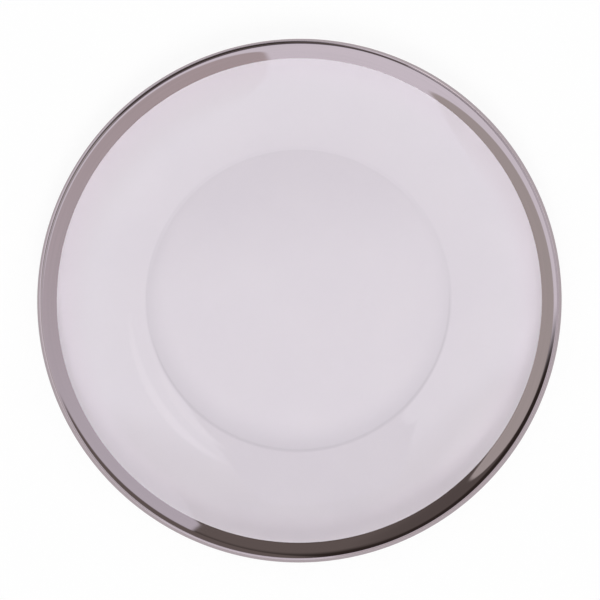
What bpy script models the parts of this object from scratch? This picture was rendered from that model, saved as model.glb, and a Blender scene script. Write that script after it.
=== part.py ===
"""A glass dinner plate with a metal band fired over its rim.

The plate is one disc of sheet glass, bent over a mould in the kiln: a flat well, a rim that
rises from the crease round the well, and a lip that curls up to a ground edge. The glass is
as thick at the edge as in the middle. The band is a metal film, drawn here as a thin ring of
its own that covers the curl, the ground edge and a strip of the underside.

Both pieces are turned about the Z axis. The plate stands on z = 0.
"""

import math

import bmesh
import bpy
from mathutils import Vector

MM = 0.001

# Driving dimensions
PLATE_DIAMETER = 280 * MM  # over the band, which is the widest part
WELL_DIAMETER = 160 * MM  # the flat floor of the dish, out to its crease
GLASS_THICKNESS = 3.5 * MM
CREASE_RADIUS = 10 * MM  # inside radius of the bend round the well
CURL_RADIUS = 28 * MM  # inside radius of the lip's upward curl
EDGE_ROUND = 1 * MM  # on both corners of the ground edge
SLOPE_AT_WELL = math.radians(8)  # of the rim where it leaves the crease
SLOPE_AT_CURL = math.radians(22)  # of the rim where the lip begins
SLOPE_AT_LIP = math.radians(40)  # of the lip where it meets the ground edge
BAND_WIDTH = 10.9 * MM  # on the upper face, as seen from above
BAND_UNDER = 1.5 * MM  # on the underside, in from the ground edge
BAND_THICKNESS = 0.3 * MM
BAND_GAP = 0.3 * MM  # clearance between the band and the glass it covers

# How finely the turned shapes are divided, and where their shading breaks
TURN_STEPS = 72
CREASE_STEPS = 3
RIM_STEPS = 6
BAND_STEPS = 5
UNDER_STEPS = 2
CORNER_STEPS = 4
MERGE_DISTANCE = 0.001 * MM  # joins the points that a turn leaves on the axis
SHARP_ANGLE = math.radians(30)

# Colours and finishes
GLASS_COLOUR = (0.80, 0.75, 0.81, 1)
GLASS_INDEX = 1.52
GLASS_ROUGHNESS = 0.02
BAND_COLOUR = (0.58, 0.52, 0.53, 1)
BAND_ROUGHNESS = 0.06

# Sizes that follow from the driving dimensions
GLASS_RADIUS = PLATE_DIAMETER / 2 - BAND_GAP - BAND_THICKNESS
WELL_RADIUS = WELL_DIAMETER / 2
RIM_START_RADIUS = WELL_RADIUS + CREASE_RADIUS * math.sin(SLOPE_AT_WELL)
RIM_START_HEIGHT = GLASS_THICKNESS + CREASE_RADIUS * (1 - math.cos(SLOPE_AT_WELL))
EDGE_RUN = GLASS_THICKNESS * math.sin(SLOPE_AT_LIP) + EDGE_ROUND * (1 - math.sin(SLOPE_AT_LIP))
LIP_RADIUS = GLASS_RADIUS - EDGE_RUN
CURL_START_RADIUS = LIP_RADIUS - CURL_RADIUS * (math.sin(SLOPE_AT_LIP) - math.sin(SLOPE_AT_CURL))
RIM_RUN = CURL_START_RADIUS - RIM_START_RADIUS
RIM_RADIUS = RIM_RUN / (math.sin(SLOPE_AT_CURL) - math.sin(SLOPE_AT_WELL))
BAND_START_RADIUS = PLATE_DIAMETER / 2 - BAND_WIDTH
BAND_END_RADIUS = LIP_RADIUS - BAND_UNDER


def clear_scene():
    for obj in list(bpy.data.objects):
        bpy.data.objects.remove(obj)


def arc_height_and_slope(run, radius, slope):
    """Rise and slope at a horizontal run along an arc that curves upwards from a slope."""
    end_slope = math.asin(math.sin(slope) + run / radius)
    return radius * (math.cos(slope) - math.cos(end_slope)), end_slope


def upper_face(radius):
    """Height and slope of the glass's upper face at a distance from the axis."""
    if radius <= WELL_RADIUS:
        return GLASS_THICKNESS, 0.0
    if radius <= RIM_START_RADIUS:
        rise, slope = arc_height_and_slope(radius - WELL_RADIUS, CREASE_RADIUS, 0)
        return GLASS_THICKNESS + rise, slope
    if radius <= CURL_START_RADIUS:
        rise, slope = arc_height_and_slope(radius - RIM_START_RADIUS, RIM_RADIUS, SLOPE_AT_WELL)
        return RIM_START_HEIGHT + rise, slope
    rim_rise, _ = arc_height_and_slope(RIM_RUN, RIM_RADIUS, SLOPE_AT_WELL)
    rise, slope = arc_height_and_slope(radius - CURL_START_RADIUS, CURL_RADIUS, SLOPE_AT_CURL)
    return RIM_START_HEIGHT + rim_rise + rise, slope


def normal_at(slope):
    """Unit normal of the upper face, as (radial, vertical)."""
    return Vector((-math.sin(slope), math.cos(slope)))


def on_upper_face(radius):
    """A point of the upper face and the normal that points out of the glass there."""
    height, slope = upper_face(radius)
    return Vector((radius, height)), normal_at(slope)


def on_underside(radius):
    """The point right through the glass from on_upper_face, with its own outward normal."""
    point, normal = on_upper_face(radius)
    return point - normal * GLASS_THICKNESS, -normal


def ground_edge():
    """The edge's two rounded corners, from the upper face to the underside, with normals."""
    point, normal = on_upper_face(LIP_RADIUS)
    outward = Vector((normal.y, -normal.x))
    outline = []
    for depth, turned in ((EDGE_ROUND, 0), (GLASS_THICKNESS - EDGE_ROUND, 1)):
        centre = point - normal * depth
        for step in range(CORNER_STEPS + 1):
            angle = math.pi / 2 * (turned + step / CORNER_STEPS)
            around = normal * math.cos(angle) + outward * math.sin(angle)
            outline.append((centre + around * EDGE_ROUND, around))
    return outline[1:-1]


def spaced(start, end, steps):
    """Evenly spaced values after start, up to end."""
    return [start + (end - start) * (step + 1) / steps for step in range(steps)]


CREASE_RADII = [WELL_RADIUS, *spaced(WELL_RADIUS, RIM_START_RADIUS, CREASE_STEPS)]
RIM_RADII = spaced(RIM_START_RADIUS, BAND_START_RADIUS, RIM_STEPS)
BAND_RADII = spaced(BAND_START_RADIUS, BAND_END_RADIUS, BAND_STEPS)
UNDER_RADII = spaced(BAND_END_RADIUS, LIP_RADIUS, UNDER_STEPS)


def turned_solid(name, outline, material):
    """A named object from a closed outline of (radius, height) points, turned about Z."""
    mesh_builder = bmesh.new()
    corners = [mesh_builder.verts.new((point.x, 0, point.y)) for point in outline]
    on_axis = outline[0].x == 0 and outline[-1].x == 0
    pairs = list(zip(corners, corners[1:]))
    if not on_axis:
        pairs.append((corners[-1], corners[0]))
    edges = [mesh_builder.edges.new(pair) for pair in pairs]
    bmesh.ops.spin(
        mesh_builder,
        geom=corners + edges,
        cent=(0, 0, 0),
        axis=(0, 0, 1),
        angle=2 * math.pi,
        steps=TURN_STEPS,
        use_merge=True,
    )
    bmesh.ops.remove_doubles(mesh_builder, verts=mesh_builder.verts, dist=MERGE_DISTANCE)
    bmesh.ops.recalc_face_normals(mesh_builder, faces=mesh_builder.faces)
    mesh = bpy.data.meshes.new(name)
    mesh_builder.to_mesh(mesh)
    mesh_builder.free()
    mesh.shade_smooth()
    mesh.set_sharp_from_angle(angle=SHARP_ANGLE)
    mesh.materials.append(material)
    obj = bpy.data.objects.new(name, mesh)
    bpy.context.scene.collection.objects.link(obj)
    return obj


def tinted_glass():
    material = bpy.data.materials.new("pale_lilac_glass")
    material.use_nodes = True
    shader = material.node_tree.nodes["Principled BSDF"]
    shader.inputs["Base Color"].default_value = GLASS_COLOUR
    shader.inputs["Roughness"].default_value = GLASS_ROUGHNESS
    shader.inputs["IOR"].default_value = GLASS_INDEX
    shader.inputs["Transmission Weight"].default_value = 1
    return material


def metal_lustre():
    material = bpy.data.materials.new("platinum_lustre")
    material.use_nodes = True
    shader = material.node_tree.nodes["Principled BSDF"]
    shader.inputs["Base Color"].default_value = BAND_COLOUR
    shader.inputs["Roughness"].default_value = BAND_ROUGHNESS
    shader.inputs["Metallic"].default_value = 1
    return material


def glass_plate():
    """The whole disc: the dish on top, the ground edge, and the underside back to the axis."""
    radii = CREASE_RADII + RIM_RADII + BAND_RADII + UNDER_RADII
    outline = [Vector((0, GLASS_THICKNESS))]
    outline += [on_upper_face(radius)[0] for radius in radii]
    outline += [point for point, _ in ground_edge()]
    outline += [on_underside(radius)[0] for radius in reversed(radii)]
    outline.append(Vector((0, 0)))
    return turned_solid("glass_plate", outline, tinted_glass())


def rim_band():
    """The metal film: the outline of the glass from dish to underside, offset once for each face."""
    covered = [on_upper_face(radius) for radius in [BAND_START_RADIUS] + BAND_RADII + UNDER_RADII]
    covered += ground_edge()
    covered += [on_underside(radius) for radius in reversed([BAND_END_RADIUS] + UNDER_RADII)]
    outside = [point + normal * (BAND_GAP + BAND_THICKNESS) for point, normal in covered]
    inside = [point + normal * BAND_GAP for point, normal in reversed(covered)]
    return turned_solid("rim_band", outside + inside, metal_lustre())


clear_scene()
glass_plate()
rim_band()
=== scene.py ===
# %% [markdown]
# # A glass dinner plate with a metal band
#
# The plate is a disc of pale lilac-grey sheet glass that was bent over a mould in a kiln. A mirror-bright
# metal film is fired over its lip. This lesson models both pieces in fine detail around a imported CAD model,
# gives them their finishes, and lights them the way a small product studio would.
#
# The CAD model is the fixed frame: it says where each piece is and how large, and nothing here moves it.

# %% Load the frame
import math

import bmesh
import bpy
from mathutils import Matrix, Vector


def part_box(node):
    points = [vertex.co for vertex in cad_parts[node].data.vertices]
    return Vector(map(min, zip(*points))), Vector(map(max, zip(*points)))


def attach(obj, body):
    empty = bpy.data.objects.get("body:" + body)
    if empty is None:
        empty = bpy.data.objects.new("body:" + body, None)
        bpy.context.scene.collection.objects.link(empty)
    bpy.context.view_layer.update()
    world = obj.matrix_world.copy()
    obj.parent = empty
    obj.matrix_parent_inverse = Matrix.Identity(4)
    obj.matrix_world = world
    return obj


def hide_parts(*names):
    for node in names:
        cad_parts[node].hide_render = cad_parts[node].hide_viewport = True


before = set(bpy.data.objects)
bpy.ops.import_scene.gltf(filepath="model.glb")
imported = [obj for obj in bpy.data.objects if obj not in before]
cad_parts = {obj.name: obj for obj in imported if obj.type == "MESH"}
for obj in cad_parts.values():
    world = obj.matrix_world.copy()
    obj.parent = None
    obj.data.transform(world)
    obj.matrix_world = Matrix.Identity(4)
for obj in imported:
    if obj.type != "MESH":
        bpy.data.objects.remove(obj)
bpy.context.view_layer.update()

# %% [markdown]
# ## The plate's measurements
#
# A bent sheet has nearly the same thickness everywhere, so its shape follows from a handful of bends. Seen
# in section, the upper face is a straight floor and three arcs: a crease round the well, the long shallow
# sweep of the rim, and the curl of the lip. The outer radius comes from the frame. The bends are written in
# millimetres, as on a mould drawing.

# %% Measurements
MM = 0.001

GLASS_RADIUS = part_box("glass_plate")[1].x
GLASS_THICKNESS = 3.5 * MM
WELL_RADIUS = 80 * MM
CREASE_RADIUS = 10 * MM
CURL_RADIUS = 28 * MM
SLOPE_AT_WELL = math.radians(8)
SLOPE_AT_CURL = math.radians(22)
SLOPE_AT_LIP = math.radians(40)
UP = Vector((0, 0, 1))


def upward_normal(slope):
    """The direction square to a face that rises outwards with this slope, in the plane y = 0."""
    return Vector((-math.sin(slope), 0, math.cos(slope)))


def outward_tangent(slope):
    """The direction along such a face, away from the axis."""
    return Vector((math.cos(slope), 0, math.sin(slope)))


print(f"glass {2 * GLASS_RADIUS / MM:.1f} mm across and {GLASS_THICKNESS / MM:.1f} mm thick")

# %% [markdown]
# ## Drawing an outline with the Spin tool
#
# A turned shape starts as an outline. It could be a list of points from a formula, but on a drawing board
# arcs are swung from their centres, and Blender's Spin does that too: spinning one vertex about a point
# draws an arc behind it. The same centres serve the upper face and the underside, which is what keeps the
# glass equally thick all along the bends.

# %% Outline tools
def draw_line(outline, tip, step):
    """Extrudes the outline's last vertex by a step and returns the new last vertex."""
    grown = bmesh.ops.extrude_vert_indiv(outline, verts=[tip])
    bmesh.ops.translate(outline, verts=grown["verts"], vec=step)
    return grown["verts"][0]


def draw_arc(outline, tip, centre, angle, steps):
    """Swings the last vertex about a centre, clockwise seen from the front, and returns the new one."""
    swung = bmesh.ops.spin(
        outline, geom=[tip], cent=centre, axis=(0, 1, 0), angle=angle, steps=steps, use_duplicate=False
    )
    return next(part for part in swung["geom_last"] if isinstance(part, bmesh.types.BMVert))


# %% [markdown]
# A full turn of the outline about the plate's axis makes the surface, as a lathe would. An outline that
# begins and ends on the axis gives a solid at once. Any other gives a skin, and Solidify then adds a wall
# on its inner side.

# %% Turning tool
TURN_STEPS = 360
MERGE_DISTANCE = 0.0005 * MM
SHARP_ANGLE = math.radians(30)


def turn_on_lathe(outline, name, wall=0):
    """Spins an outline once round the Z axis and makes an object of it, with a wall if it needs one."""
    bmesh.ops.spin(
        outline,
        geom=outline.verts[:] + outline.edges[:],
        cent=(0, 0, 0),
        axis=UP,
        angle=2 * math.pi,
        steps=TURN_STEPS,
        use_merge=True,
    )
    bmesh.ops.remove_doubles(outline, verts=outline.verts[:], dist=MERGE_DISTANCE)
    bmesh.ops.recalc_face_normals(outline, faces=outline.faces[:])
    if wall:
        bmesh.ops.solidify(outline, geom=outline.faces[:], thickness=wall)
    mesh = bpy.data.meshes.new(name)
    outline.to_mesh(mesh)
    outline.free()
    mesh.shade_smooth()
    mesh.set_sharp_from_angle(angle=SHARP_ANGLE)
    piece = bpy.data.objects.new(name, mesh)
    bpy.context.scene.collection.objects.link(piece)
    print(f"{name}: {len(mesh.polygons)} faces")
    return piece


# %% [markdown]
# ## The ground edge
#
# The edge of a cut sheet is sharp, so it is ground all round: a fine arris on top, a broad round outside
# it, a flat, and a small round below. It could be a bevel on the finished solid. Drawn as arcs, the same
# strokes serve the glass and the metal that lies over it. They begin on the upper face and have to end on
# the underside, which settles how long the flat is and how far the edge reaches out.

# %% The ground edge
ARRIS = 0.15 * MM
OUTER_ROUND = 1.4 * MM
LOWER_ROUND = 0.5 * MM
EDGE_SLOPE = math.radians(45)
CORNER_STEPS = 10

lip_normal = upward_normal(SLOPE_AT_LIP)
lip_tangent = outward_tangent(SLOPE_AT_LIP)
edge_normal = upward_normal(-EDGE_SLOPE)
edge_tangent = outward_tangent(-EDGE_SLOPE)

rounds = ARRIS * (UP - lip_normal)
rounds += OUTER_ROUND * (edge_normal - UP)
rounds -= LOWER_ROUND * (edge_normal + lip_normal)
flat_edge = -(GLASS_THICKNESS + rounds.dot(lip_normal)) / edge_tangent.dot(lip_normal)
land = (rounds + edge_tangent * flat_edge).dot(lip_tangent)
edge_run = ARRIS * math.sin(SLOPE_AT_LIP) + OUTER_ROUND * math.sin(EDGE_SLOPE)
edge_run += flat_edge * math.cos(EDGE_SLOPE) + LOWER_ROUND * (1 - math.sin(EDGE_SLOPE))


def draw_ground_edge(outline, tip, proud=0):
    """Draws the edge from the upper face to the underside, a little proud of the glass for the film."""
    centre = tip.co - lip_normal * (ARRIS + proud)
    tip = draw_arc(outline, tip, centre, SLOPE_AT_LIP, CORNER_STEPS)
    centre = tip.co - UP * (OUTER_ROUND + proud)
    tip = draw_arc(outline, tip, centre, EDGE_SLOPE, CORNER_STEPS)
    tip = draw_line(outline, tip, edge_tangent * flat_edge)
    centre = tip.co - edge_normal * (LOWER_ROUND + proud)
    tip = draw_arc(outline, tip, centre, math.pi - SLOPE_AT_LIP - EDGE_SLOPE, CORNER_STEPS)
    return draw_line(outline, tip, -lip_tangent * land)


print(f"ground edge {edge_run / MM:.2f} mm wide from above, with a flat of {flat_edge / MM:.2f} mm")

# %% [markdown]
# ## The bends
#
# With the lip's place known, the sweep of the rim is the one arc that joins the crease and the curl without
# a kink. Each bend is kept as a centre, an angle and a number of steps, so that it can be drawn outwards on
# the upper face and inwards on the underside.

# %% The bends
CREASE_STEPS = 10
RIM_STEPS = 30
CURL_STEPS = 16

lip_radius = GLASS_RADIUS - edge_run
curl_start = lip_radius - CURL_RADIUS * (math.sin(SLOPE_AT_LIP) - math.sin(SLOPE_AT_CURL))
rim_start = WELL_RADIUS + CREASE_RADIUS * math.sin(SLOPE_AT_WELL)
rim_radius = (curl_start - rim_start) / (math.sin(SLOPE_AT_CURL) - math.sin(SLOPE_AT_WELL))

crease_centre = Vector((WELL_RADIUS, 0, GLASS_THICKNESS + CREASE_RADIUS))
rim_centre = crease_centre + upward_normal(SLOPE_AT_WELL) * (rim_radius - CREASE_RADIUS)
curl_centre = rim_centre - upward_normal(SLOPE_AT_CURL) * (rim_radius - CURL_RADIUS)
bends = [
    (crease_centre, SLOPE_AT_WELL, CREASE_STEPS),
    (rim_centre, SLOPE_AT_CURL - SLOPE_AT_WELL, RIM_STEPS),
    (curl_centre, SLOPE_AT_LIP - SLOPE_AT_CURL, CURL_STEPS),
]
print(f"rim sweep radius {rim_radius / MM:.1f} mm, lip at {lip_radius / MM:.1f} mm from the axis")

# %% [markdown]
# ## The glass
#
# The outline runs from the middle of the well out over the bends, round the ground edge, and back
# underneath through the same bends in reverse. Turning it once round the axis closes it into one solid, so
# light that enters the glass always finds a way out, as refraction needs.

# %% The glass plate
outline = bmesh.new()
tip = outline.verts.new((0, 0, GLASS_THICKNESS))
tip = draw_line(outline, tip, (WELL_RADIUS, 0, 0))
for centre, angle, steps in bends:
    tip = draw_arc(outline, tip, centre, -angle, steps)
tip = draw_ground_edge(outline, tip)
for centre, angle, steps in reversed(bends):
    tip = draw_arc(outline, tip, centre, angle, steps)
draw_line(outline, tip, (-tip.co.x, 0, 0))
glass_plate = turn_on_lathe(outline, "glass_plate_fine")

# %% [markdown]
# ## The metal band
#
# The real band is a film about a thousandth of a millimetre thick. It is drawn as a skin a few hundredths
# thick whose inner face lies just inside the glass, so that the two meet with no gap, and from below the
# glass shows the metal's back. Only its outer face is drawn, along the curl, the ground edge and a strip of
# the underside. Solidify gives the turned skin its thickness.

# %% The rim band
FILM_PROUD = 0.04 * MM
FILM_SUNK = 0.02 * MM
BAND_WIDTH = 10.9 * MM
BAND_UNDER = 1.5 * MM
BAND_STEPS = 24
UNDER_STEPS = 4

band_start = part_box("rim_band")[1].x - BAND_WIDTH
slope_at_start = math.asin(math.sin(SLOPE_AT_CURL) + (band_start - curl_start) / CURL_RADIUS)

outline = bmesh.new()
tip = outline.verts.new(curl_centre - upward_normal(slope_at_start) * (CURL_RADIUS - FILM_PROUD))
tip = draw_arc(outline, tip, curl_centre, slope_at_start - SLOPE_AT_LIP, BAND_STEPS)
tip = draw_ground_edge(outline, tip, proud=FILM_PROUD)
draw_arc(outline, tip, curl_centre, BAND_UNDER / (CURL_RADIUS + GLASS_THICKNESS), UNDER_STEPS)
rim_band = turn_on_lathe(outline, "rim_band_fine", wall=FILM_PROUD + FILM_SUNK)

# %% [markdown]
# ## A helper for materials
#
# Every finish is a small node tree. One function adds a node, sets its options, fills or links its inputs
# and hands back the output that the next node needs, so that a material reads as a list of what feeds what.
# Colours are written as sRGB hex values, as a colour picker shows them, and turned to linear light.

# %% Node helper
MIX_UNDER = 6
MIX_OVER = 7
MIX_RESULT = 2


def add_node(tree, kind, options, inputs, output=0):
    """Adds a node with its options, gives each input a value or a link, and returns one of its outputs."""
    node = tree.nodes.new("ShaderNode" + kind)
    for name, value in options.items():
        setattr(node, name, value)
    for name, value in inputs.items():
        if isinstance(value, bpy.types.NodeSocket):
            tree.links.new(value, node.inputs[name])
        else:
            node.inputs[name].default_value = value
    return node.outputs[output]


def colour(hex_code):
    """An sRGB hex value as the linear RGBA that Blender's nodes take."""
    channels = [int(hex_code[at : at + 2], 16) / 255 for at in (1, 3, 5)]
    return (*[c / 12.92 if c <= 0.04045 else ((c + 0.055) / 1.055) ** 2.4 for c in channels], 1)


def new_material(name):
    """A material with nodes: the material, its node tree and its Principled shader."""
    material = bpy.data.materials.new(name)
    material.use_nodes = True
    return material, material.node_tree, material.node_tree.nodes["Principled BSDF"]


# %% [markdown]
# ## Tinted soda-lime glass, kiln-bent
#
# Soda-lime glass has an index of 1.52. A trace of manganese gives the pale lilac-grey. Fire leaves its skin
# smooth but not quite flat, so a faint swell some centimetres long bends what shows through it. Towards the
# lip the tint is painted a little more lilac, the colour of the band's shadow on the paper below: painted
# shade colour, not the glass's own. A volume could hold the tint, but a tint at each face is cleaner and as
# true in so even a sheet.

# %% Tinted glass
TINT_DEEP = "#E7E2E8"
TINT_PALE = "#EAE5EA"
# painted shade colour: the lilac of the band's shadow, used towards the lip
BAND_SHADE_TINT = "#ECE5EC"
BAND_SHADE_FROM = 112 * MM
BAND_SHADE_TO = 128 * MM
GLASS_INDEX = 1.52
SKIN_ROUGHNESS = 0.015
SWELL_LENGTH = 35 * MM
SWELL_HEIGHT = 0.006 * MM

tinted_glass, tree, shader = new_material("tinted_soda_lime_glass_kiln_bent")
place = add_node(tree, "TexCoord", {}, {}, "Object")
swell = add_node(
    tree, "TexNoise", {}, {"Vector": place, "Scale": 1 / SWELL_LENGTH, "Detail": 2.0, "Roughness": 0.4}
)
tint = add_node(
    tree,
    "Mix",
    {"data_type": "RGBA"},
    {"Factor": swell, MIX_UNDER: colour(TINT_DEEP), MIX_OVER: colour(TINT_PALE)},
    MIX_RESULT,
)
plan = add_node(tree, "VectorMath", {"operation": "MULTIPLY"}, {0: place, 1: (1, 1, 0)})
out = add_node(tree, "VectorMath", {"operation": "LENGTH"}, {0: plan}, "Value")
# painted shade colour: towards the lip the tint turns to the lilac of the band's shadow
band_shade_mask = add_node(
    tree,
    "MapRange",
    {"interpolation_type": "SMOOTHSTEP"},
    {"Value": out, "From Min": BAND_SHADE_FROM, "From Max": BAND_SHADE_TO},
)
tint = add_node(
    tree,
    "Mix",
    {"data_type": "RGBA"},
    {"Factor": band_shade_mask, MIX_UNDER: tint, MIX_OVER: colour(BAND_SHADE_TINT)},
    MIX_RESULT,
)
waves = add_node(tree, "Bump", {}, {"Strength": 1.0, "Distance": SWELL_HEIGHT, "Height": swell})
gloss = add_node(tree, "MapRange", {}, {"Value": swell, "To Min": 0.0, "To Max": SKIN_ROUGHNESS})
tree.links.new(waves, shader.inputs["Normal"])
tree.links.new(gloss, shader.inputs["Roughness"])
shader.inputs["IOR"].default_value = GLASS_INDEX
shader.inputs["Transmission Weight"].default_value = 1.0
glass_plate.data.materials.append(tinted_glass)

# %% [markdown]
# A painted shade deepens the tint inside the crease, more on the south side. That painted shade is a ring: it
# grows with the distance from a point a little north of the middle, and it ends at the crease, where the rim
# begins. It could be painted by hand. Two distances multiplied give the same lopsided ring from four
# measures.

# %% Painted shade in the crease
# painted shade: a darker tint for the ring inside the crease
CREASE_SHADE_TINT = "#E1DCE2"
CREASE_SHADE_MIDDLE = (1 * MM, 6 * MM, 0)
CREASE_SHADE_FROM = 71 * MM
CREASE_SHADE_TO = 88 * MM
CREASE_FADE = 1.1 * MM

# painted shade: a lopsided ring darkens the tint inside the crease, deepest on the south side
crease_shade = 1.0
for middle, start, end in (
    (CREASE_SHADE_MIDDLE, CREASE_SHADE_FROM, CREASE_SHADE_TO),
    ((0, 0, 0), rim_start + CREASE_FADE, rim_start),
):
    out = add_node(tree, "VectorMath", {"operation": "DISTANCE"}, {0: plan, 1: middle}, "Value")
    part = add_node(
        tree,
        "MapRange",
        {"interpolation_type": "SMOOTHSTEP"},
        {"Value": out, "From Min": start, "From Max": end},
    )
    crease_shade = add_node(tree, "Math", {"operation": "MULTIPLY"}, {0: crease_shade, 1: part})
tint = add_node(
    tree,
    "Mix",
    {"data_type": "RGBA"},
    {"Factor": crease_shade, MIX_UNDER: tint, MIX_OVER: colour(CREASE_SHADE_TINT)},
    MIX_RESULT,
)
tree.links.new(tint, shader.inputs["Base Color"])
print(f"{tinted_glass.name}: {len(tree.nodes)} nodes, index {GLASS_INDEX}")

# %% [markdown]
# ## Platinum lustre, fired
#
# The band is brushed on as a liquid while the plate turns on a banding wheel, then fired until only a film
# of metal is left. It mirrors the room with a dark, slightly warm grey. The brush leaves fine streaks that
# run round the rim and show as small changes of tone and gloss. Real ones are finer than a pixel, so they
# are drawn some ten times coarser. Stretched noise with the distance from the axis as its fourth measure
# follows the rim.

# %% Platinum lustre
METAL_DARK = "#A99EA2"
METAL_PALE = "#B0A3A8"
GLOSS_BRIGHT = 0.02
GLOSS_DULL = 0.07
STREAK_WIDTH = 1.2 * MM
STREAK_LENGTH = 60 * MM
STREAK_HEIGHT = 0.0004 * MM

platinum_lustre, tree, shader = new_material("platinum_lustre_fired")
place = add_node(tree, "TexCoord", {}, {}, "Object")
plan = add_node(tree, "VectorMath", {"operation": "MULTIPLY"}, {0: place, 1: (1, 1, 0)})
out = add_node(tree, "VectorMath", {"operation": "LENGTH"}, {0: plan}, "Value")
lanes = add_node(tree, "Math", {"operation": "DIVIDE"}, {0: out, 1: STREAK_WIDTH})
stretched = add_node(
    tree,
    "Mapping",
    {"vector_type": "TEXTURE"},
    {"Vector": place, "Scale": (STREAK_LENGTH, STREAK_LENGTH, STREAK_WIDTH)},
)
streaks = add_node(
    tree,
    "TexNoise",
    {"noise_dimensions": "4D"},
    {"Vector": stretched, "W": lanes, "Scale": 1.0, "Detail": 2.0},
)
tone = add_node(
    tree,
    "Mix",
    {"data_type": "RGBA"},
    {"Factor": streaks, MIX_UNDER: colour(METAL_DARK), MIX_OVER: colour(METAL_PALE)},
    MIX_RESULT,
)
gloss = add_node(tree, "MapRange", {}, {"Value": streaks, "To Min": GLOSS_BRIGHT, "To Max": GLOSS_DULL})
ridges = add_node(tree, "Bump", {}, {"Strength": 1.0, "Distance": STREAK_HEIGHT, "Height": streaks})
tree.links.new(tone, shader.inputs["Base Color"])
tree.links.new(gloss, shader.inputs["Roughness"])
tree.links.new(ridges, shader.inputs["Normal"])
shader.inputs["Metallic"].default_value = 1.0
rim_band.data.materials.append(platinum_lustre)
print(f"{platinum_lustre.name}: {len(tree.nodes)} nodes, roughness {GLOSS_BRIGHT} to {GLOSS_DULL}")

# %% [markdown]
# ## Riding on the frame
#
# Both pieces stand for the CAD nodes of the same name and ride on the plate's one body.

# %% Ride
for piece, node, slot in (
    (glass_plate, "glass_plate", "tinted_glass"),
    (rim_band, "rim_band", "metal_lustre"),
):
    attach(piece, "root")
    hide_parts(node)

# %% [markdown]
# ## The floor
#
# The plate lies on a plain white sheet of paper. A roll of paper that curves up behind would hide the
# horizon, but from straight above no horizon shows, so one flat grid will do. It is large, because the
# lip's outer face mirrors it almost to the horizon, and it lies a hair below the glass so that the two
# faces don't fight.

# %% Floor
FLOOR_GAP = 0.1 * MM
FLOOR_SIZE = 12.0

sheet = bmesh.new()
bmesh.ops.create_grid(sheet, x_segments=1, y_segments=1, size=FLOOR_SIZE / 2)
bmesh.ops.translate(sheet, verts=sheet.verts[:], vec=-UP * FLOOR_GAP)
floor_mesh = bpy.data.meshes.new("floor")
sheet.to_mesh(floor_mesh)
sheet.free()
floor = bpy.data.objects.new("floor", floor_mesh)
bpy.context.scene.collection.objects.link(floor)
print(f"floor {FLOOR_SIZE:.0f} m across, {FLOOR_GAP / MM:.1f} mm under the plate")

# %% [markdown]
# A photograph of this kind is exposed until the paper is white, which more light would do only by bleaching
# the plate. Here a share of the paper's brightness is plain white instead, and the rest is lit by the
# studio, so the plate keeps its soft shadow. The share is large where the camera sees the paper, smaller
# through the glass, where the band's shadow has to show, and smallest in the metal.

# %% Matt white paper
FLOOR_WHITE = "#F8F8F8"
WHITE_IN_THE_OPEN = 0.9
WHITE_THROUGH_GLASS = 0.4
WHITE_IN_METAL = 0.2

floor_paper, tree, shader = new_material("matt_white_paper")
shader.inputs["Base Color"].default_value = colour(FLOOR_WHITE)
shader.inputs["Roughness"].default_value = 1.0
shader.inputs["Specular IOR Level"].default_value = 0.0
share = 0.0
for ray, part in (
    ("Is Camera Ray", WHITE_IN_THE_OPEN),
    ("Is Glossy Ray", WHITE_IN_METAL),
    ("Is Transmission Ray", WHITE_THROUGH_GLASS),
):
    flag = add_node(tree, "LightPath", {}, {}, ray)
    flag = add_node(tree, "Math", {"operation": "MULTIPLY"}, {0: flag, 1: part})
    share = add_node(tree, "Math", {"operation": "MAXIMUM"}, {0: share, 1: flag})
plain_white = add_node(tree, "Emission", {}, {"Color": (1, 1, 1, 1), "Strength": 1.0})
paper = add_node(tree, "MixShader", {}, {"Fac": share, 1: shader.outputs["BSDF"], 2: plain_white})
tree.links.new(paper, tree.nodes["Material Output"].inputs["Surface"])
floor_mesh.materials.append(floor_paper)
print(f"{floor_paper.name}: {WHITE_IN_THE_OPEN} plain white in the open, {WHITE_THROUGH_GLASS} under glass")

# %% [markdown]
# ## Two maps of the studio
#
# A mirror shows the room, so the room is part of the look. It could be built of panels, but panels would
# light the plate too. It is painted on the world instead, which keeps what is mirrored apart from what
# lights. Directions become a compass bearing and a height above the horizon, in degrees, and things on the
# walls are placed on that map. Things near the zenith are placed on the plan of a flat ceiling one unit up.

# %% Maps of the studio
LOWEST_CEILING = 0.001

world = bpy.data.worlds.new("studio")
bpy.context.scene.world = world
world.use_nodes = True
tree = world.node_tree
looking = add_node(tree, "TexCoord", {}, {}, "Generated")
east, north, up = (add_node(tree, "SeparateXYZ", {}, {0: looking}, axis) for axis in "XYZ")
bearing = add_node(tree, "Math", {"operation": "ARCTAN2"}, {0: east, 1: north})
bearing = add_node(tree, "Math", {"operation": "DEGREES"}, {0: bearing})
height = add_node(tree, "Math", {"operation": "ARCSINE"}, {0: up})
height = add_node(tree, "Math", {"operation": "DEGREES"}, {0: height})
wall_map = add_node(tree, "CombineXYZ", {}, {"X": bearing, "Y": height})
above = add_node(tree, "Math", {"operation": "MAXIMUM"}, {0: up, 1: LOWEST_CEILING})
above = add_node(tree, "CombineXYZ", {}, {"X": above, "Y": above, "Z": above})
ceiling_map = add_node(tree, "VectorMath", {"operation": "DIVIDE"}, {0: looking, 1: above})


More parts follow.
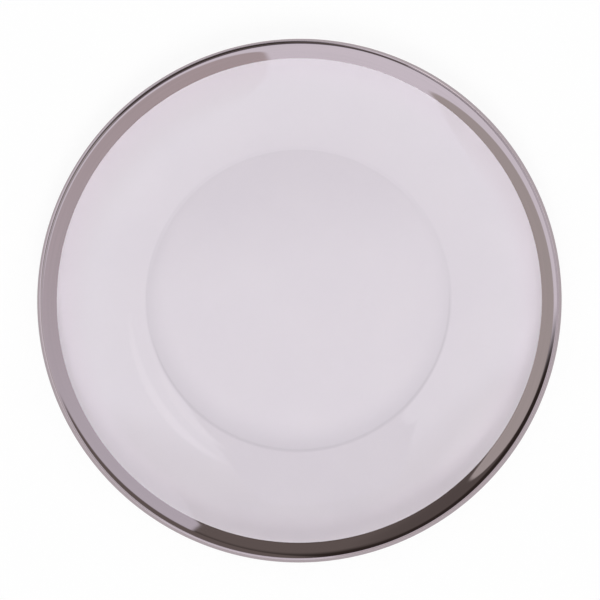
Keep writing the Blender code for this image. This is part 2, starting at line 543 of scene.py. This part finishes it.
def card(map_socket, middle, half_size, roundness, softness, turn=0):
    """How much a card covers: 1 within a rounded rectangle on a map, 0 outside, with a soft edge."""
    centred = add_node(
        tree,
        "Mapping",
        {"vector_type": "TEXTURE"},
        {
            "Vector": map_socket,
            "Location": (*middle, 0),
            "Rotation": (0, 0, math.radians(turn)),
            "Scale": (*half_size, 1),
        },
    )
    away = add_node(tree, "VectorMath", {"operation": "ABSOLUTE"}, {0: centred})
    away = add_node(tree, "VectorMath", {"operation": "POWER"}, {0: away, 1: (roundness,) * 3})
    reach = add_node(tree, "VectorMath", {"operation": "DOT_PRODUCT"}, {0: away, 1: (1, 1, 0)}, "Value")
    return add_node(
        tree,
        "MapRange",
        {"interpolation_type": "SMOOTHSTEP"},
        {"Value": reach, "From Min": 1 + softness, "From Max": 1 - softness},
    )


# %% [markdown]
# ## The mirrored room
#
# A fired band has little colour of its own, and its tones are those of the room. Most of the room is one
# grey or another, written as one hex value each. Three of them change across the room: the pale walls turn
# to a greyer ceiling, the unlit side is darker low down, and the east card darkens southwards. Each is two
# greys mixed by height or by bearing, which is simpler than a painted picture and has no steps.

# %% The room's tones
PALE_WALL = "#D3D5D9"
CEILING = "#B7B7BA"
UNLIT_LOW = "#2E2925"
UNLIT_HIGH = "#635E59"
UNLIT_WEST = "#55504C"
STAND = "#65626A"
WEST_CARD = "#A6A49F"
EAST_CARD_NORTH = "#B9BABF"
EAST_CARD_SOUTH = "#ADA7A6"
LIT_PAPER = "#FFFFFF"
STRIP = "#E1E1E1"
FAINT_STRIP = "#CCCCCC"

tones = {}
for name, guide, start, end, first, second in (
    ("room", height, 46, 76, PALE_WALL, CEILING),
    ("unlit side", height, 22, 32, UNLIT_LOW, UNLIT_HIGH),
    ("east card", bearing, 40, 160, EAST_CARD_NORTH, EAST_CARD_SOUTH),
):
    change = add_node(
        tree,
        "MapRange",
        {"interpolation_type": "SMOOTHSTEP"},
        {"Value": guide, "From Min": start, "From Max": end},
    )
    tones[name] = add_node(
        tree,
        "Mix",
        {"data_type": "RGBA"},
        {"Factor": change, MIX_UNDER: colour(first), MIX_OVER: colour(second)},
        MIX_RESULT,
    )
print("tones that change across the room:", ", ".join(tones))

# %% [markdown]
# The north side is unlit, with the camera's stand above it, a dark gap low down that tails off eastwards,
# and one darkest place where nothing is lit at all. A large grey card stands on either side, east and west,
# and gives the band its two broad tones. The cards fade out upwards, so that the glass shows no edge, and
# the west one leaves a glow on the unlit side. All round, the white paper rises a little before it ends,
# brightest in the north-east. Three thin strips of pale ceiling show past the stand. They are laid one over
# the other, as cut paper would be.

# %% The room's shapes
unlit_side = card(wall_map, middle=(-5, 30), half_size=(74, 41), roundness=4, softness=0.5)
darkest = card(wall_map, middle=(5, 60.5), half_size=(24, 7), roundness=2, softness=0.7)
stand = card(
    ceiling_map, middle=(0.005, 0.2096), half_size=(0.205, 0.27), roundness=6, softness=0.22, turn=10
)
card_glow = card(wall_map, middle=(-58, 58), half_size=(16, 6), roundness=2, softness=0.6)
unlit_west = card(wall_map, middle=(-40, 34), half_size=(25, 22), roundness=2, softness=0.8)
paper_edge = card(wall_map, middle=(0, -20), half_size=(400, 37.5), roundness=8, softness=0.1)
lit_paper = card(wall_map, middle=(57, 0), half_size=(27, 7), roundness=3, softness=0.4)
west_card = card(wall_map, middle=(-99.25, 40.9), half_size=(54.25, 17.1), roundness=2.5, softness=0.05)
east_card = card(wall_map, middle=(99.75, 35), half_size=(70.25, 23), roundness=5, softness=0.05)
gap = card(wall_map, middle=(-34, 13.2), half_size=(54, 11.8), roundness=4, softness=0.6, turn=-2.2)
gap_tail = card(wall_map, middle=(36, 16), half_size=(36, 9), roundness=2, softness=0.25, turn=-5)
strip = card(wall_map, middle=(66, 69.2), half_size=(26, 1.2), roundness=2, softness=0.8, turn=-2)
faint_strip = card(wall_map, middle=(62, 73.7), half_size=(18, 1), roundness=2, softness=0.8)
west_strip = card(wall_map, middle=(-62, 77.5), half_size=(18, 2.5), roundness=4, softness=0.5)

print("world nodes for the shapes:", len(tree.nodes))

# %% [markdown]
# The fade of the two large cards takes their cover down to nothing with height. Then every shape is mixed
# over the ones before it, each with its own tone, so the order of the list is the order of the layers.

# %% The room's layers
CARD_FADES_FROM = 50
CARD_GONE_BY = 58

card_fade = add_node(
    tree,
    "MapRange",
    {"interpolation_type": "SMOOTHSTEP"},
    {"Value": height, "From Min": CARD_GONE_BY, "From Max": CARD_FADES_FROM},
)
west_card = add_node(tree, "Math", {"operation": "MULTIPLY"}, {0: west_card, 1: card_fade})
east_card = add_node(tree, "Math", {"operation": "MULTIPLY"}, {0: east_card, 1: card_fade})

view = tones["room"]
for cover, tone in (
    (unlit_side, tones["unlit side"]),
    (darkest, colour(UNLIT_LOW)),
    (stand, colour(STAND)),
    (card_glow, colour(WEST_CARD)),
    (unlit_west, colour(UNLIT_WEST)),
    (paper_edge, colour(PALE_WALL)),
    (lit_paper, colour(LIT_PAPER)),
    (west_card, colour(WEST_CARD)),
    (east_card, tones["east card"]),
    (gap, colour(UNLIT_LOW)),
    (gap_tail, colour(UNLIT_HIGH)),
    (strip, colour(STRIP)),
    (faint_strip, colour(FAINT_STRIP)),
    (west_strip, tones["room"]),
):
    view = add_node(
        tree, "Mix", {"data_type": "RGBA"}, {"Factor": cover, MIX_UNDER: view, MIX_OVER: tone}, MIX_RESULT
    )
print("world nodes so far:", len(tree.nodes))

# %% [markdown]
# ## The studio's light
#
# The light is a pale sky with a brighter ceiling and one softbox high in the south, which drops the band's
# soft shadow on the paper under the glass. Lamps would do as well, but glass would mirror them as hot
# spots. The three levels are set so that together they light the paper at strength 1.

# %% Light
SKY_LEVEL = 0.36
CEILING_LEVEL = 0.81
SOFTBOX_LEVEL = 6.6

overhead = card(ceiling_map, middle=(0, -0.1), half_size=(1.05, 1.05), roundness=3, softness=0.55)
softbox = card(ceiling_map, middle=(0, -0.6), half_size=(0.25, 0.5), roundness=2, softness=0.8)
light = add_node(tree, "MapRange", {}, {"Value": overhead, "To Min": SKY_LEVEL, "To Max": CEILING_LEVEL})
light = add_node(tree, "MapRange", {}, {"Value": softbox, "To Min": light, "To Max": SOFTBOX_LEVEL})
print(f"light: sky {SKY_LEVEL}, ceiling {CEILING_LEVEL}, softbox {SOFTBOX_LEVEL}")

# %% [markdown]
# The world now has three looks, and the Light Path node tells which a ray should see. Light that reaches
# the paper comes from the sky and the softbox. A ray that was mirrored in the plate and hasn't met the
# paper sees the painted room. The camera, directly or straight through the glass, sees plain white.

# %% What each ray sees
ROOM_STRENGTH = 2.0
HALF = 0.5

rays = {}
for name in ("Is Camera Ray", "Is Glossy Ray", "Is Transmission Ray", "Glossy Depth", "Diffuse Depth"):
    rays[name] = add_node(tree, "LightPath", {}, {}, name)
in_plate = add_node(
    tree, "Math", {"operation": "MAXIMUM"}, {0: rays["Is Glossy Ray"], 1: rays["Is Transmission Ray"]}
)
off_paper = add_node(tree, "Math", {"operation": "LESS_THAN"}, {0: rays["Diffuse Depth"], 1: HALF})
in_plate = add_node(tree, "Math", {"operation": "MULTIPLY"}, {0: in_plate, 1: off_paper})
mirrored = add_node(tree, "Math", {"operation": "GREATER_THAN"}, {0: rays["Glossy Depth"], 1: HALF})
mirrored = add_node(tree, "Math", {"operation": "MULTIPLY"}, {0: in_plate, 1: mirrored})
straight = add_node(tree, "Math", {"operation": "SUBTRACT"}, {0: in_plate, 1: mirrored})
straight = add_node(tree, "Math", {"operation": "MAXIMUM"}, {0: straight, 1: rays["Is Camera Ray"]})

shown = add_node(tree, "Background", {}, {"Color": (1, 1, 1, 1), "Strength": light})
room = add_node(tree, "Background", {}, {"Color": view, "Strength": ROOM_STRENGTH})
plain_white = add_node(tree, "Background", {}, {"Color": (1, 1, 1, 1), "Strength": 1.0})
for which, look in ((mirrored, room), (straight, plain_white)):
    shown = add_node(tree, "MixShader", {}, {"Fac": which, 1: shown, 2: look})
tree.links.new(shown, tree.nodes["World Output"].inputs["Surface"])
print("world nodes in all:", len(tree.nodes))

# %% [markdown]
# ## The camera
#
# The photograph looks almost straight down, from a little to the north and west of the plate's axis, and
# from far enough away that its perspective is slight. The camera could be placed by eye. Here the lens
# follows from how much of the frame the plate fills, and the shift from where its axis lies in the frame.

# %% Camera
FRAME_PIXELS = 600
PLATE_PIXELS = 525
AXIS_PIXEL = (300.05, 301.64)
CAMERA_DISTANCE = 2.6
SENSOR = 36
TILT_NORTH = math.radians(4)
TILT_WEST = math.radians(2.5)

widest = max((vertex.co for vertex in rim_band.data.vertices), key=lambda place: place.x)
frame_width = 2 * widest.x * FRAME_PIXELS / PLATE_PIXELS
target = Vector((0, 0, widest.z))
toward_camera = Vector((-math.tan(TILT_WEST), math.tan(TILT_NORTH), 1)).normalized()
image_right = Vector((0, 1, 0)).cross(toward_camera).normalized()
image_up = toward_camera.cross(image_right)

lens = bpy.data.cameras.new("studio_camera")
lens.sensor_width = SENSOR
lens.lens = SENSOR * CAMERA_DISTANCE / frame_width
lens.shift_x = (FRAME_PIXELS / 2 - AXIS_PIXEL[0]) / FRAME_PIXELS
lens.shift_y = (AXIS_PIXEL[1] - FRAME_PIXELS / 2) / FRAME_PIXELS
camera = bpy.data.objects.new("studio_camera", lens)
bpy.context.scene.collection.objects.link(camera)
camera.location = target + toward_camera * CAMERA_DISTANCE
camera.rotation_mode = "QUATERNION"
camera.rotation_quaternion = Matrix((image_right, image_up, toward_camera)).transposed().to_quaternion()
bpy.context.scene.camera = camera
print(f"lens {lens.lens:.0f} mm, widest ring {widest.x / MM:.2f} mm out and {widest.z / MM:.2f} mm up")

# %% [markdown]
# ## Finish
#
# The standard view transform shows colours as they are written. Cycles blurs what light does in glass once
# it has met the paper, which would wash out the band's shadow, so that filter is set to 0.

# %% Finish
bpy.context.scene.view_settings.view_transform = "Standard"
bpy.context.scene.cycles.blur_glossy = 0
